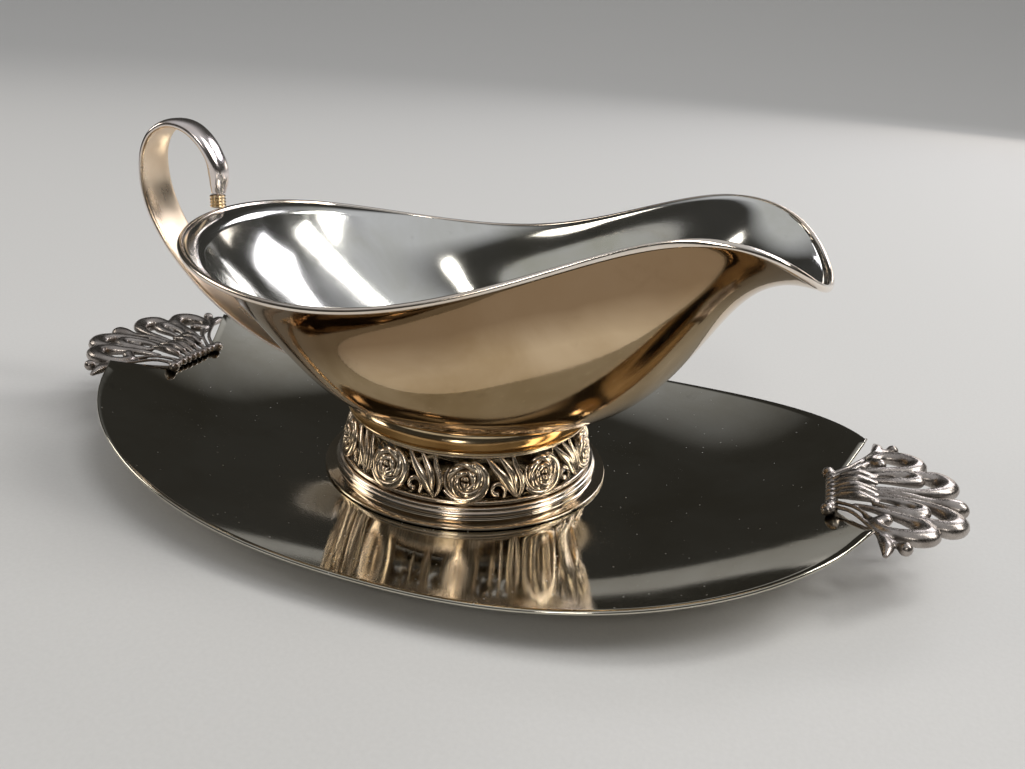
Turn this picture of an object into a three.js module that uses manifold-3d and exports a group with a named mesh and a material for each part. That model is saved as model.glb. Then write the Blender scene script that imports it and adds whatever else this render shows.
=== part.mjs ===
// Silver-plated sauce boat fixed on an oval underplate with two cast handles.
// Millimetres, +Z up. The origin is the centre of the underplate on the table,
// and the pouring lip points along +X.
import * as THREE from 'three';
import { mergeVertices } from 'three/addons/utils/BufferGeometryUtils.js';
import Module from 'manifold-3d';

// ---- driving dimensions -------------------------------------------------
const GAP = 0.3;                // clearance between pieces that touch

const PLATE_HALF_LENGTH = 116;  // underplate, without its cast handles
const PLATE_HALF_WIDTH = 79.9;
const PLATE_SQUARENESS = 2.23;  // exponent of the superellipse outline
const PLATE_THICK = 1.2;
const PLATE_SIDE_HEIGHT = 8.8;  // edge height above the table at the long sides
const PLATE_END_RISE = 14.6;    // the two ends stand this much higher
const WELL_RADIUS = 46;         // flat ring that the plate stands on
const BOSS_OUTER = 36;          // the middle is pressed up to clear the nut
const BOSS_INNER = 31.5;
const BOSS_TOP = 5.5;
const NOTCH_INNER_X = 104.6;    // cut-out under each cast handle
const NOTCH_INNER_Y = 10.4;
const NOTCH_OUTER_X = 111.4;
const NOTCH_OUTER_Y = 27.9;

const CAST_LIFT = 2.15;         // middle of a casting above the plate's upper face

const BOWL_THICK = 1.3;
const BOWL_BASE_RADIUS = 32.2;
const BOWL_BASE_HEIGHT = 24.9;
const BOWL_BOTTOM_DROP = 2.6;   // the middle of the bottom lies lower than its edge
const RIM_WIRE_RADIUS = 0.9;
const RIM_INSET = 1.1;          // the wall's edge lies this far inside the rim's outline

const FOOT_X = -2.5;            // the foot stands a little behind the plate's middle
const SKIRT_RADIUS = 42.6;      // foot, from the underplate upwards
const RING_RADIUS = 39.4;
const RING_BOTTOM = 3.3;
const RING_TOP = 5.9;
const GALLERY_FOOT_RADIUS = 38.2;  // the pierced band narrows upwards
const GALLERY_HEAD_RADIUS = 34.8;
const GALLERY_THICK = 1.7;
const GALLERY_REPEATS = 10;
const GALLERY_TURN = THREE.MathUtils.degToRad(3);  // angle of the first rose
const COLLAR_RADIUS = 35.9;
const COLLAR_BOTTOM = 19.9;

const STRAP_THICK = 2.4;
const STUD_RADIUS = 2;
const NUT_FLATS = 7;

// ---- materials ----------------------------------------------------------
function silver(colour, roughness) {
  return new THREE.MeshStandardMaterial({ color: colour, roughness, metalness: 1 });
}

const polishedSilver = silver(0xc9c3b4, 0.1);
const goldenSilver = silver(0xd2b98c, 0.15);
const oxidisedSilver = silver(0xa39a8c, 0.3);
const plateSilver = silver(0xb3ad97, 0.08);
const dullBrass = silver(0x9c8452, 0.4);

// ---- geometry helpers ---------------------------------------------------
const wasm = await Module();
wasm.setup();

const object = new THREE.Group();

function addPart(name, geometry, material) {
  const mesh = new THREE.Mesh(geometry, material);
  mesh.name = name;
  object.add(mesh);
  return mesh;
}

function toSolid(geometry) {
  const bare = geometry.index ? geometry.toNonIndexed() : geometry.clone();
  bare.deleteAttribute('normal');
  bare.deleteAttribute('uv');
  const merged = mergeVertices(bare, 1e-4);
  const numbers = {
    numProp: 3,
    vertProperties: new Float32Array(merged.attributes.position.array),
    triVerts: new Uint32Array(merged.index.array),
  };
  return new wasm.Manifold(new wasm.Mesh(numbers));
}

function toGeometry(solid) {
  const mesh = solid.getMesh();
  const geometry = new THREE.BufferGeometry();
  geometry.setAttribute('position', new THREE.BufferAttribute(mesh.vertProperties, 3));
  geometry.setIndex(new THREE.BufferAttribute(mesh.triVerts, 1));
  return geometry;
}

function join(geometries) {
  return geometries.map(toSolid).reduce((whole, piece) => whole.add(piece));
}

// A closed skin through rings of points. Every ring has the same count. The skin
// either closes back on its first ring or ends on a pole point at each end.
function skin(rings, poles) {
  const count = rings[0].length;
  const points = rings.flat();
  const faces = [];
  const last = poles ? rings.length - 1 : rings.length;
  for (let row = 0; row < last; row += 1) {
    const here = row * count;
    const next = ((row + 1) % rings.length) * count;
    for (let k = 0; k < count; k += 1) {
      const turn = (k + 1) % count;
      faces.push(here + k, here + turn, next + turn);
      faces.push(here + k, next + turn, next + k);
    }
  }
  if (poles) {
    const start = points.push(poles[0]) - 1;
    const end = points.push(poles[1]) - 1;
    const tail = (rings.length - 1) * count;
    for (let k = 0; k < count; k += 1) {
      const turn = (k + 1) % count;
      faces.push(start, turn, k);
      faces.push(end, tail + k, tail + turn);
    }
  }
  const geometry = new THREE.BufferGeometry().setFromPoints(points);
  geometry.setIndex(faces);
  return geometry;
}

// A turned piece: its profile is a list of [radius, height] pairs, taken
// anticlockwise, that starts and ends on the axis or closes on itself.
function turned(profile, segments = 48) {
  const points = profile.map(([radius, height]) => new THREE.Vector2(radius, height));
  return new THREE.LatheGeometry(points, segments).rotateX(Math.PI / 2);
}

function tube(points, radius, steps, sides = 8) {
  const path = new THREE.CatmullRomCurve3(points);
  const section = new THREE.Shape();
  section.absarc(0, 0, radius, 0, 2 * Math.PI, false);
  return new THREE.ExtrudeGeometry(section, {
    steps,
    curveSegments: sides / 2,
    extrudePath: path,
    bevelEnabled: false,
  });
}

function ball(x, y, z, radius, scale = [1, 1, 1]) {
  return new THREE.SphereGeometry(radius, 7, 4).scale(...scale).translate(x, y, z);
}

// ---- underplate ---------------------------------------------------------
function plateRadius(angle) {
  const across = Math.abs(Math.cos(angle) / PLATE_HALF_LENGTH) ** PLATE_SQUARENESS;
  const along = Math.abs(Math.sin(angle) / PLATE_HALF_WIDTH) ** PLATE_SQUARENESS;
  return (across + along) ** (-1 / PLATE_SQUARENESS);
}

// 0 at the long sides and 1 at the two ends, by direction from the centre
function endness(angle) {
  const x = plateRadius(angle) * Math.cos(angle) / PLATE_HALF_LENGTH;
  return Math.abs(x) ** PLATE_SQUARENESS;
}

// Height of the plate's upper face
function plateTop(x, y) {
  const fromBoss = Math.hypot(x - FOOT_X, y);
  if (fromBoss <= BOSS_OUTER) {
    const rise = THREE.MathUtils.smoothstep(BOSS_OUTER - fromBoss, 0, BOSS_OUTER - BOSS_INNER);
    return PLATE_THICK + (BOSS_TOP - PLATE_THICK) * rise;
  }
  const radius = Math.hypot(x, y);
  const angle = Math.atan2(y, x);
  const share = Math.max(0, radius - WELL_RADIUS) / (plateRadius(angle) - WELL_RADIUS);
  const end = endness(angle);
  const edge = PLATE_SIDE_HEIGHT + PLATE_END_RISE * end - PLATE_THICK;
  return PLATE_THICK + edge * share ** (1.6 + 0.8 * end);
}

function underplate() {
  const segments = 72;
  const shares = [0, 0.2, 0.4, 0.6, 0.8, 1];
  const inner = [STUD_RADIUS + 0.4, BOSS_INNER, (BOSS_INNER + BOSS_OUTER) / 2, BOSS_OUTER];
  const ring = (row, drop) => Array.from({ length: segments }, (unused, k) => {
    const angle = (2 * Math.PI * k) / segments;
    const well = row - inner.length;
    const radius = well < 0
      ? inner[row]
      : THREE.MathUtils.lerp(WELL_RADIUS, plateRadius(angle), shares[well]);
    const x = radius * Math.cos(angle) + (well < 0 ? FOOT_X : 0);
    const y = radius * Math.sin(angle);
    return new THREE.Vector3(x, y, plateTop(x, y) - drop);
  });
  const rows = inner.length + shares.length;
  const upper = Array.from({ length: rows }, (unused, row) => ring(row, 0));
  const lower = upper.map((unused, row) => ring(row, PLATE_THICK));
  let solid = toSolid(skin([...lower, ...upper.reverse()], null));
  for (const side of [-1, 1]) {
    const outline = new THREE.Shape([
      new THREE.Vector2(side * NOTCH_INNER_X, -side * NOTCH_INNER_Y),
      new THREE.Vector2(side * NOTCH_OUTER_X, -side * NOTCH_OUTER_Y),
      new THREE.Vector2(side * (PLATE_HALF_LENGTH + 9), -side * NOTCH_OUTER_Y),
      new THREE.Vector2(side * (PLATE_HALF_LENGTH + 9), side * NOTCH_OUTER_Y),
      new THREE.Vector2(side * NOTCH_OUTER_X, side * NOTCH_OUTER_Y),
      new THREE.Vector2(side * NOTCH_INNER_X, side * NOTCH_INNER_Y),
    ]);
    const cutter = new THREE.ExtrudeGeometry(outline, { depth: 60, bevelEnabled: false });
    solid = solid.subtract(toSolid(cutter.translate(0, 0, -5)));
  }
  return toGeometry(solid);
}

addPart('underplate', underplate(), plateSilver);

// ---- cast handles of the underplate --------------------------------------
// Height of the middle of the casting: it lies on the plate at the beaded bar
// and arches a little over its length beyond the cut-out.
function castHeight(x) {
  const onPlate = plateTop(Math.min(x, NOTCH_INNER_X), 0) + CAST_LIFT;
  const beyond = Math.max(0, x - NOTCH_INNER_X) / 32;
  return onPlate + 5 * beyond * (1 - beyond);
}

function castPoint([x, y]) {
  return new THREE.Vector3(x, y, castHeight(x));
}

function castHandle() {
  const beadCount = 8;
  const beadPitch = 2.45;
  const beadX = NOTCH_INNER_X - 2.4;
  const pieces = [];
  for (let k = 0; k < beadCount; k += 1) {
    const y = (k - (beadCount - 1) / 2) * beadPitch;
    pieces.push(ball(beadX, y, castHeight(beadX), 1.35));
  }
  const centrePlume = [[101.8, 0], [110, 0], [120, 0], [131, 0]];
  pieces.push(tube(centrePlume.map(castPoint), 1.3, 5, 6));
  pieces.push(ball(131.5, 0, castHeight(131.5), 3.4, [1.6, 1, 0.75]));
  for (const side of [-1, 1]) {
    const strands = [
      [1.2, [[102, 2.4], [110, 3.4], [118, 3.4], [125, 4], [130.4, 7.5], [131.2, 11.5],
        [127, 14], [121, 11.5], [115, 7.5]]],
      [1.2, [[102, 5], [108, 7.4], [115, 11.5], [121.5, 14.5], [125, 18.5], [121, 21.8],
        [115, 20.5], [111.8, 15.5]]],
      [1.1, [[102.2, 7.2], [106.2, 9.2], [109.6, 14.6], [113.6, 23.4], [115.2, 26.8], [118.2, 28]]],
      [1.1, [[110.5, 13], [114.4, 22.4], [114, 28], [113.6, 31]]],
    ];
    for (const [radius, route] of strands) {
      const points = route.map(([x, y]) => castPoint([x, side * y]));
      pieces.push(tube(points, radius, Math.round(1.6 * route.length), 6));
    }
    pieces.push(ball(130.2, side * 10, castHeight(130.2), 2.4, [1.1, 1.2, 0.8]));
    pieces.push(ball(123.4, side * 18.6, castHeight(123.4), 2.2, [1.1, 1.2, 0.8]));
    pieces.push(ball(118.2, side * 28, castHeight(118.2), 1.7));
    pieces.push(ball(113.6, side * 31, castHeight(113.6), 1.5, [1.1, 1.5, 0.8]));
  }
  return join(pieces);
}

const casting = castHandle();
addPart('plate_handle_right', toGeometry(casting), oxidisedSilver);
addPart('plate_handle_left', toGeometry(casting.rotate([0, 0, 180])), oxidisedSilver);

// ---- foot ---------------------------------------------------------------
const skirtBottom = PLATE_THICK + GAP;
function addFootPart(name, geometry, material) {
  addPart(name, geometry, material).position.x = FOOT_X;
}

addFootPart('foot_skirt', turned([
  [SKIRT_RADIUS, skirtBottom],
  [SKIRT_RADIUS, skirtBottom + 0.5],
  [RING_RADIUS + 0.8, skirtBottom + 0.9],
  [RING_RADIUS - 0.4, RING_BOTTOM - GAP],
  [RING_RADIUS - 1.8, RING_BOTTOM - GAP],
  [RING_RADIUS - 1.5, skirtBottom],
  [SKIRT_RADIUS, skirtBottom],
]), polishedSilver);

addFootPart('foot_base_ring', turned([
  [RING_RADIUS - 0.5, RING_BOTTOM],
  [RING_RADIUS, RING_BOTTOM + 0.6],
  [RING_RADIUS - 0.2, RING_BOTTOM + 1.1],
  [RING_RADIUS - 0.9, RING_BOTTOM + 1.4],
  [RING_RADIUS - 0.5, RING_BOTTOM + 1.9],
  [RING_RADIUS - 0.9, RING_TOP],
  [RING_RADIUS - 4.4, RING_TOP],
  [RING_RADIUS - 4.4, RING_BOTTOM],
  [RING_RADIUS - 0.5, RING_BOTTOM],
]), polishedSilver);

const galleryBottom = RING_TOP + GAP;
const galleryTop = COLLAR_BOTTOM - GAP;

function galleryRadius(height) {
  const share = (height - galleryBottom) / (galleryTop - galleryBottom);
  return THREE.MathUtils.lerp(GALLERY_FOOT_RADIUS, GALLERY_HEAD_RADIUS, share);
}

function galleryPoint(angle, height) {
  const radius = galleryRadius(height) - GALLERY_THICK / 2;
  return new THREE.Vector3(radius * Math.cos(angle), radius * Math.sin(angle), height);
}

// Pierced band: two rails with a rose in each repeat and a leafy scroll
// climbing from the lower rail to the upper one between the roses.
function gallery() {
  const railHeight = 1.3;
  const rail = (bottom) => {
    const low = galleryRadius(bottom);
    const high = galleryRadius(bottom + railHeight);
    return turned([
      [low, bottom],
      [high, bottom + railHeight],
      [high - GALLERY_THICK, bottom + railHeight],
      [low - GALLERY_THICK, bottom],
      [low, bottom],
    ], 50);
  };
  const middle = (galleryBottom + galleryTop) / 2;
  const roseRadius = (galleryTop - galleryBottom) / 2 - 0.5;
  const pitch = (2 * Math.PI) / GALLERY_REPEATS;
  const lean = Math.atan2(GALLERY_FOOT_RADIUS - GALLERY_HEAD_RADIUS, galleryTop - galleryBottom);
  const pieces = [rail(galleryBottom), rail(galleryTop - railHeight)];
  for (let k = 0; k < GALLERY_REPEATS; k += 1) {
    const angle = k * pitch + GALLERY_TURN;
    const rose = new THREE.CylinderGeometry(roseRadius * 0.75, roseRadius, 1.9, 12);
    rose.rotateZ(-Math.PI / 2).rotateY(-lean);
    rose.translate(galleryRadius(middle) - 0.55, 0, middle).rotateZ(angle);
    pieces.push(rose);
    const scroll = [
      galleryPoint(angle + 0.3 * pitch, galleryBottom + 0.6),
      galleryPoint(angle + 0.44 * pitch, middle - 1.5),
      galleryPoint(angle + 0.54 * pitch, middle + 1.5),
      galleryPoint(angle + 0.7 * pitch, galleryTop - 0.6),
    ];
    pieces.push(tube(scroll, 0.8, 4, 6));
  }
  return toGeometry(join(pieces));
}

addFootPart('foot_gallery', gallery(), goldenSilver);

addFootPart('foot_collar', turned([
  [COLLAR_RADIUS - 0.6, COLLAR_BOTTOM],
  [COLLAR_RADIUS, COLLAR_BOTTOM + 0.5],
  [34.6, COLLAR_BOTTOM + 1.5],
  [33.4, COLLAR_BOTTOM + 2.9],
  [32.6, COLLAR_BOTTOM + 4.5],
  [31.4, COLLAR_BOTTOM + 4.3],
  [32, COLLAR_BOTTOM + 2.2],
  [33, COLLAR_BOTTOM],
  [COLLAR_RADIUS - 0.6, COLLAR_BOTTOM],
]), goldenSilver);

// ---- bowl ---------------------------------------------------------------
// Sum of cosines or sines of whole multiples of an angle
function harmonics(wave, angle, weights, first) {
  return weights.reduce((sum, weight, k) => sum + weight * wave((k + first) * angle), 0);
}

// Half outline of the rim. The turn runs from 0 at the back to pi at the lip.
function rimPoint(turn) {
  const x = 3.25 - 88.78 * Math.cos(turn);
  const y = harmonics(Math.sin, turn, [57.45, 7.11, 5.11, -3.48, 2.27], 1);
  const z = harmonics(Math.cos, turn, [62.39, -8.77, 2.34, 5.85, -3.09, 0.88], 0);
  const inward = RIM_INSET / Math.hypot(x, y, 1);
  return new THREE.Vector3(x, y, z + PLATE_SIDE_HEIGHT - RIM_INSET)
    .multiply(new THREE.Vector3(1 - inward, 1 - inward, 1));
}

// The wall drops from the rim to the base circle as a quartic Bezier curve. These
// weights say, round the bowl, how its three middle points stand off.
const WALL = {
  rimInward: [12.35, -2.58, 5.13, -5.41, 1.04],
  rimDown: [7.58, 7.12, -1.93, 2.87, 0.08],
  bellyOut: [6.9, -2.91, -1.39, 0.57, 1.59],
  bellyUp: [-2.8, 0.62, 2.8, -2.3, -0.23],
  baseOut: [15.27, -2.14, 0.95, -1.64, -0.73],
  baseUp: [1.76, 1.93, -1.03, 0.21, -0.15],
};

function wallControls(turn) {
  const weigh = (name) => harmonics(Math.cos, turn, WALL[name], 0);
  const rim = rimPoint(turn);
  const out = new THREE.Vector3(-Math.cos(turn), Math.sin(turn), 0);
  const base = out.clone().multiplyScalar(BOWL_BASE_RADIUS).setZ(BOWL_BASE_HEIGHT);
  base.x += FOOT_X;
  const away = rim.clone().sub(base).setZ(0).normalize();
  const first = rim.clone().addScaledVector(away, -weigh('rimInward'));
  first.z -= weigh('rimDown');
  const second = rim.clone().lerp(base, 0.5).addScaledVector(out, weigh('bellyOut'));
  second.z += weigh('bellyUp');
  const third = base.clone().addScaledVector(out, weigh('baseOut'));
  third.z += weigh('baseUp');
  return [rim, first, second, third, base];
}

// Outer face of the bowl: height share 0 at the rim, 1 at the base circle and
// 2 at the middle of the bottom
function bowlPoint(turn, share) {
  const side = turn > Math.PI ? -1 : 1;
  const folded = turn > Math.PI ? 2 * Math.PI - turn : turn;
  if (share > 1) {
    const radius = BOWL_BASE_RADIUS * (2 - share);
    const drop = BOWL_BOTTOM_DROP * (1 - (2 - share) ** 2);
    const x = FOOT_X - radius * Math.cos(folded);
    return new THREE.Vector3(x, side * radius * Math.sin(folded), BOWL_BASE_HEIGHT - drop);
  }
  let points = wallControls(folded);
  while (points.length > 1) {
    points = points.slice(1).map((point, k) => points[k].clone().lerp(point, share));
  }
  return points[0].setY(side * points[0].y);
}

function bowlNormal(turn, share) {
  const step = 1e-3;
  const wrap = (angle) => (angle + 2 * Math.PI) % (2 * Math.PI);
  const round = bowlPoint(wrap(turn + step), share).sub(bowlPoint(wrap(turn - step), share));
  const low = Math.max(0, share - step);
  const high = share <= 1 ? Math.min(1, share + step) : share + step;
  const down = bowlPoint(turn, high).sub(bowlPoint(turn, low));
  return round.cross(down).normalize();
}

function bowl() {
  const segments = 60;
  const shares = [0, 0.07, 0.16, 0.28, 0.42, 0.56, 0.7, 0.82, 0.92, 1, 1.4];
  const ring = (share, thick) => Array.from({ length: segments }, (unused, k) => {
    const turn = (2 * Math.PI * k) / segments;
    const point = bowlPoint(turn, share);
    return point.addScaledVector(bowlNormal(turn, share), -thick);
  });
  const outer = shares.map((share) => ring(share, 0));
  const inner = shares.map((share) => ring(share, BOWL_THICK));
  const lowest = new THREE.Vector3(FOOT_X, 0, BOWL_BASE_HEIGHT - BOWL_BOTTOM_DROP);
  const floor = lowest.clone().setZ(lowest.z + BOWL_THICK);
  return skin([...inner.reverse(), ...outer], [floor, lowest]);
}

addPart('bowl_body', bowl(), polishedSilver);

// Wire applied along the rim, standing on the edge of the wall
function rimWire() {
  const segments = 72;
  const sides = 6;
  const rings = Array.from({ length: segments }, (unused, k) => {
    const turn = (2 * Math.PI * k) / segments;
    const edge = bowlPoint(turn, 0);
    const out = bowlNormal(turn, 0);
    const up = edge.clone().sub(bowlPoint(turn, 0.02)).normalize();
    const centre = edge.addScaledVector(out, -BOWL_THICK / 2);
    centre.addScaledVector(up, RIM_WIRE_RADIUS + GAP);
    return Array.from({ length: sides }, (blank, j) => {
      const angle = (2 * Math.PI * j) / sides;
      const point = centre.clone().addScaledVector(out, RIM_WIRE_RADIUS * Math.cos(angle));
      return point.addScaledVector(up, RIM_WIRE_RADIUS * Math.sin(angle));
    });
  });
  return skin(rings, null);
}

addPart('bowl_rim_wire', rimWire(), polishedSilver);

// ---- bowl handle ----------------------------------------------------------
// A flat strap that rises from the back of the rim, loops over and sweeps down
// and forward to the bottom of the bowl. Each entry is x, height above the
// plate's side edge and strap width.
const STRAP_ROUTE = [
  [-88.8, 63.4, 5.5], [-88.3, 68.5, 6.2], [-89.2, 74, 6.8], [-92.6, 79.2, 7.4],
  [-97.6, 82.6, 8.2], [-103.4, 83.1, 9.2], [-108.6, 80.2, 10.4], [-111.6, 75, 11.6],
  [-112.5, 68.6, 12.6], [-111.9, 62, 13.4], [-109.4, 54.6, 14], [-104.8, 46.8, 14],
  [-98.8, 39.7, 13.8], [-91.6, 33, 13.4], [-83.6, 27.2, 12.8], [-75, 22.4, 12],
  [-66, 18.6, 11.2], [-57, 16.6, 10.4], [-49.5, 16.5, 9.8], [-45.4, 17.2, 9.4],
];

function handleStrap() {
  const points = STRAP_ROUTE.map(([x, z]) => new THREE.Vector3(x, 0, z + PLATE_SIDE_HEIGHT));
  const widths = STRAP_ROUTE.map(([, , width]) => new THREE.Vector3(width, 0, 0));
  const path = new THREE.CatmullRomCurve3(points);
  const widthPath = new THREE.CatmullRomCurve3(widths);
  const steps = 40;
  const sides = 8;
  const rings = Array.from({ length: steps + 1 }, (unused, k) => {
    const share = k / steps;
    const centre = path.getPoint(share);
    const along = path.getTangent(share);
    const outward = new THREE.Vector3(along.z, 0, -along.x);
    const width = widthPath.getPoint(share).x;
    return Array.from({ length: sides }, (blank, j) => {
      const angle = (-2 * Math.PI * (j + 0.5)) / sides;
      const across = Math.sign(Math.cos(angle)) * Math.abs(Math.cos(angle)) ** 0.6;
      const point = centre.clone().setY((across * width) / 2);
      return point.addScaledVector(outward, (Math.sin(angle) * STRAP_THICK) / 2);
    });
  });
  return skin(rings, [points[0], points[points.length - 1]]);
}

addPart('handle_strap', handleStrap(), polishedSilver);

// Ribbed ferrule between the strap and the rim
function handleFerrule() {
  const bottom = 59;
  const rib = 0.95;
  const profile = [[0, bottom]];
  for (let k = 0; k < 4; k += 1) {
    profile.push([2.2, bottom + k * rib], [2.7, bottom + (k + 0.5) * rib]);
  }
  profile.push([2.2, bottom + 4 * rib], [0, bottom + 4 * rib]);
  return turned(profile, 20).scale(0.8, 1.15, 1).translate(-89.2, 0, PLATE_SIDE_HEIGHT);
}

addPart('handle_ferrule', handleFerrule(), goldenSilver);

// ---- fixing under the foot -------------------------------------------------
const studHeadTop = BOWL_BASE_HEIGHT - BOWL_BOTTOM_DROP - GAP;
addFootPart('fixing_stud', turned([
  [0, 0.7],
  [STUD_RADIUS, 0.7],
  [STUD_RADIUS, studHeadTop - 1.2],
  [7, studHeadTop - 1.2],
  [7, studHeadTop],
  [0, studHeadTop],
], 24), dullBrass);

const washerTop = BOSS_TOP - PLATE_THICK - GAP;
addFootPart('fixing_washer', turned([
  [6, washerTop - 1],
  [6, washerTop],
  [STUD_RADIUS + GAP, washerTop],
  [STUD_RADIUS + GAP, washerTop - 1],
  [6, washerTop - 1],
], 24), dullBrass);

function fixingNut() {
  const height = 1.7;
  const outline = new THREE.Shape();
  for (let k = 0; k < 6; k += 1) {
    const angle = (Math.PI * k) / 3;
    const radius = NUT_FLATS / Math.sqrt(3);
    outline[k ? 'lineTo' : 'moveTo'](radius * Math.cos(angle), radius * Math.sin(angle));
  }
  const bore = new THREE.Path();
  bore.absarc(0, 0, STUD_RADIUS + GAP, 0, 2 * Math.PI, true);
  outline.holes.push(bore);
  const nut = new THREE.ExtrudeGeometry(outline, {
    depth: height,
    curveSegments: 24,
    bevelEnabled: false,
  });
  return nut.translate(0, 0, washerTop - 1 - GAP - height);
}

addFootPart('fixing_nut', fixingNut(), dullBrass);

export default object;
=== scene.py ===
"""Silver-plated sauce boat on an oval underplate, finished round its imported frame."""
import math
import bpy
from mathutils import Matrix, Vector


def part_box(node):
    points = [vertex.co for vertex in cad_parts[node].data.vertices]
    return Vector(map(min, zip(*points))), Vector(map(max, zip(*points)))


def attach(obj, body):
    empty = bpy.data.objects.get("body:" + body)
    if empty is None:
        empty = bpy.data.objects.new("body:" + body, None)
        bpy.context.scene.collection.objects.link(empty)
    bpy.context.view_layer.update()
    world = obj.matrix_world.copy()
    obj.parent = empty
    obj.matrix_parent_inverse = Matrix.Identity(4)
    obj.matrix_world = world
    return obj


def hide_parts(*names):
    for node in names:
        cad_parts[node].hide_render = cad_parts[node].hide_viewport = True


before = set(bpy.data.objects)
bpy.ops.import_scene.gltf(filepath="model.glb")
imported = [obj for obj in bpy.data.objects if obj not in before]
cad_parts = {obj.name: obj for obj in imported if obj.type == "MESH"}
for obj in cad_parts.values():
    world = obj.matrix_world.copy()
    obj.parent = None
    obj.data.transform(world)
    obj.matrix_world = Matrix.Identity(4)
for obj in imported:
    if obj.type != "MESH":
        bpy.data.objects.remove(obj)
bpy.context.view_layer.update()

MM = 0.001
TURN = 2 * math.pi


# ---- helpers --------------------------------------------------------------
def node_box(node):
    """Lowest and highest corner of a CAD node, in millimetres."""
    low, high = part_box(node)
    return Vector(low) / MM, Vector(high) / MM


def lerp(a, b, share):
    return a + (b - a) * share


def smoothstep(value, low, high):
    share = min(1.0, max(0.0, (value - low) / (high - low)))
    return share * share * (3 - 2 * share)


def bump(value, centre, half):
    """A smooth hill, 1 at the centre and 0 beyond half a width from it."""
    away = min(1.0, abs(value - centre) / half)
    return 0.5 + 0.5 * math.cos(math.pi * away)


def spline(points, share):
    """A Catmull-Rom curve through tuples of any length, at a share of its run."""
    last = len(points) - 1
    place = min(max(share, 0.0), 1.0) * last
    k = min(int(place), last - 1)
    t = place - k
    a, b, c, d = (points[min(max(k + j, 0), last)] for j in (-1, 0, 1, 2))
    return tuple(
        0.5 * (2 * q + (r - p) * t + (2 * p - 5 * q + 4 * r - s) * t * t
               + (3 * q - p - 3 * r + s) * t ** 3)
        for p, q, r, s in zip(a, b, c, d)
    )


class Build:
    """Collects the vertices and faces of one piece, in millimetres."""

    def __init__(self):
        self.points = []
        self.faces = []

    def skin(self, rings, poles=None, flip=False):
        """Rings of points; open ends close on pole points, or the last ring on the first."""
        start = len(self.points)
        count = len(rings[0])
        for ring in rings:
            self.points.extend(Vector(point) for point in ring)
        faces = []
        for row in range(len(rings) - 1 if poles else len(rings)):
            here = start + row * count
            there = start + ((row + 1) % len(rings)) * count
            for k in range(count):
                turn = (k + 1) % count
                faces.append((here + k, here + turn, there + turn, there + k))
        if poles:
            self.points.extend(Vector(pole) for pole in poles)
            first, final = len(self.points) - 2, len(self.points) - 1
            tail = start + (len(rings) - 1) * count
            for k in range(count):
                turn = (k + 1) % count
                faces.append((first, start + turn, start + k))
                faces.append((final, tail + k, tail + turn))
        if flip:
            faces = [face[::-1] for face in faces]
        self.faces.extend(faces)

    def turned(self, profile, centre=(0, 0), segments=160):
        """A piece turned on an upright axis from a closed profile of (radius, height)."""
        rings = [
            [(centre[0] + radius * math.cos(TURN * k / segments),
              centre[1] + radius * math.sin(TURN * k / segments), height)
             for k in range(segments)]
            for radius, height in profile
        ]
        self.skin(rings)

    def tube(self, points, radii, steps=24, sides=10, flat=1.0, normal=(0, 0, 1)):
        """A tapering round or flattened tube with domed ends through some points."""
        route = [tuple(point) for point in points]
        sizes = [(radius,) for radius in radii]
        normal = Vector(normal)
        rings = []
        for k in range(steps + 1):
            share = k / steps
            place = Vector(spline(route, share))
            ahead = Vector(spline(route, min(1, share + 0.01)))
            behind = Vector(spline(route, max(0, share - 0.01)))
            along = (ahead - behind).normalized()
            side = along.cross(normal).normalized()
            rise = side.cross(along)
            size = max(0.05, spline(sizes, share)[0])
            rings.append((place, along, side, rise, size))
        caps = []
        for at, sign in ((0, -1), (steps, 1)):
            place, along, side, rise, size = rings[at]
            caps.append([
                (place + along * sign * size * math.sin(lift), along, side, rise,
                 size * math.cos(lift)) for lift in (0.5, 1.0, 1.35)
            ])
        rows = caps[0][::-1] + rings + caps[1]
        skin = [
            [place + side * size * math.cos(TURN * j / sides)
             + rise * size * flat * math.sin(TURN * j / sides) for j in range(sides)]
            for place, along, side, rise, size in rows
        ]
        first, final = rows[0], rows[-1]
        poles = (first[0] - first[1] * first[4] * 0.2, final[0] + final[1] * final[4] * 0.2)
        self.skin(skin, poles, flip=True)

    def ball(self, centre, radius, rows=8, sides=14):
        """A ball with its poles at the top and the bottom."""
        centre = Vector(centre)

        def place(lift, turn):
            out = math.cos(lift)
            way = Vector((out * math.cos(turn), out * math.sin(turn), math.sin(lift)))
            return centre + way * radius

        rings = [
            [place(math.pi * (row / rows - 0.5), TURN * k / sides) for k in range(sides)]
            for row in range(1, rows)
        ]
        self.skin(rings, (place(-math.pi / 2, 0), place(math.pi / 2, 0)))

    def object(self, name):
        """The collected mesh as a smooth object in the scene."""
        mesh = bpy.data.meshes.new(name)
        mesh.from_pydata([point * MM for point in self.points], [], self.faces)
        mesh.validate()
        mesh.shade_smooth()
        piece = bpy.data.objects.new(name, mesh)
        bpy.context.collection.objects.link(piece)
        return piece


def finish_piece(piece, node, material):
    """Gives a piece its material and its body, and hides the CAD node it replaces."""
    piece.data.materials.append(material)
    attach(piece, "root")
    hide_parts(node)


def apply_modifiers(piece):
    """Turns the piece's modifiers into plain mesh."""
    graph = bpy.context.evaluated_depsgraph_get()
    mesh = bpy.data.meshes.new_from_object(piece.evaluated_get(graph))
    mesh.shade_smooth()
    piece.modifiers.clear()
    piece.data = mesh


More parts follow.
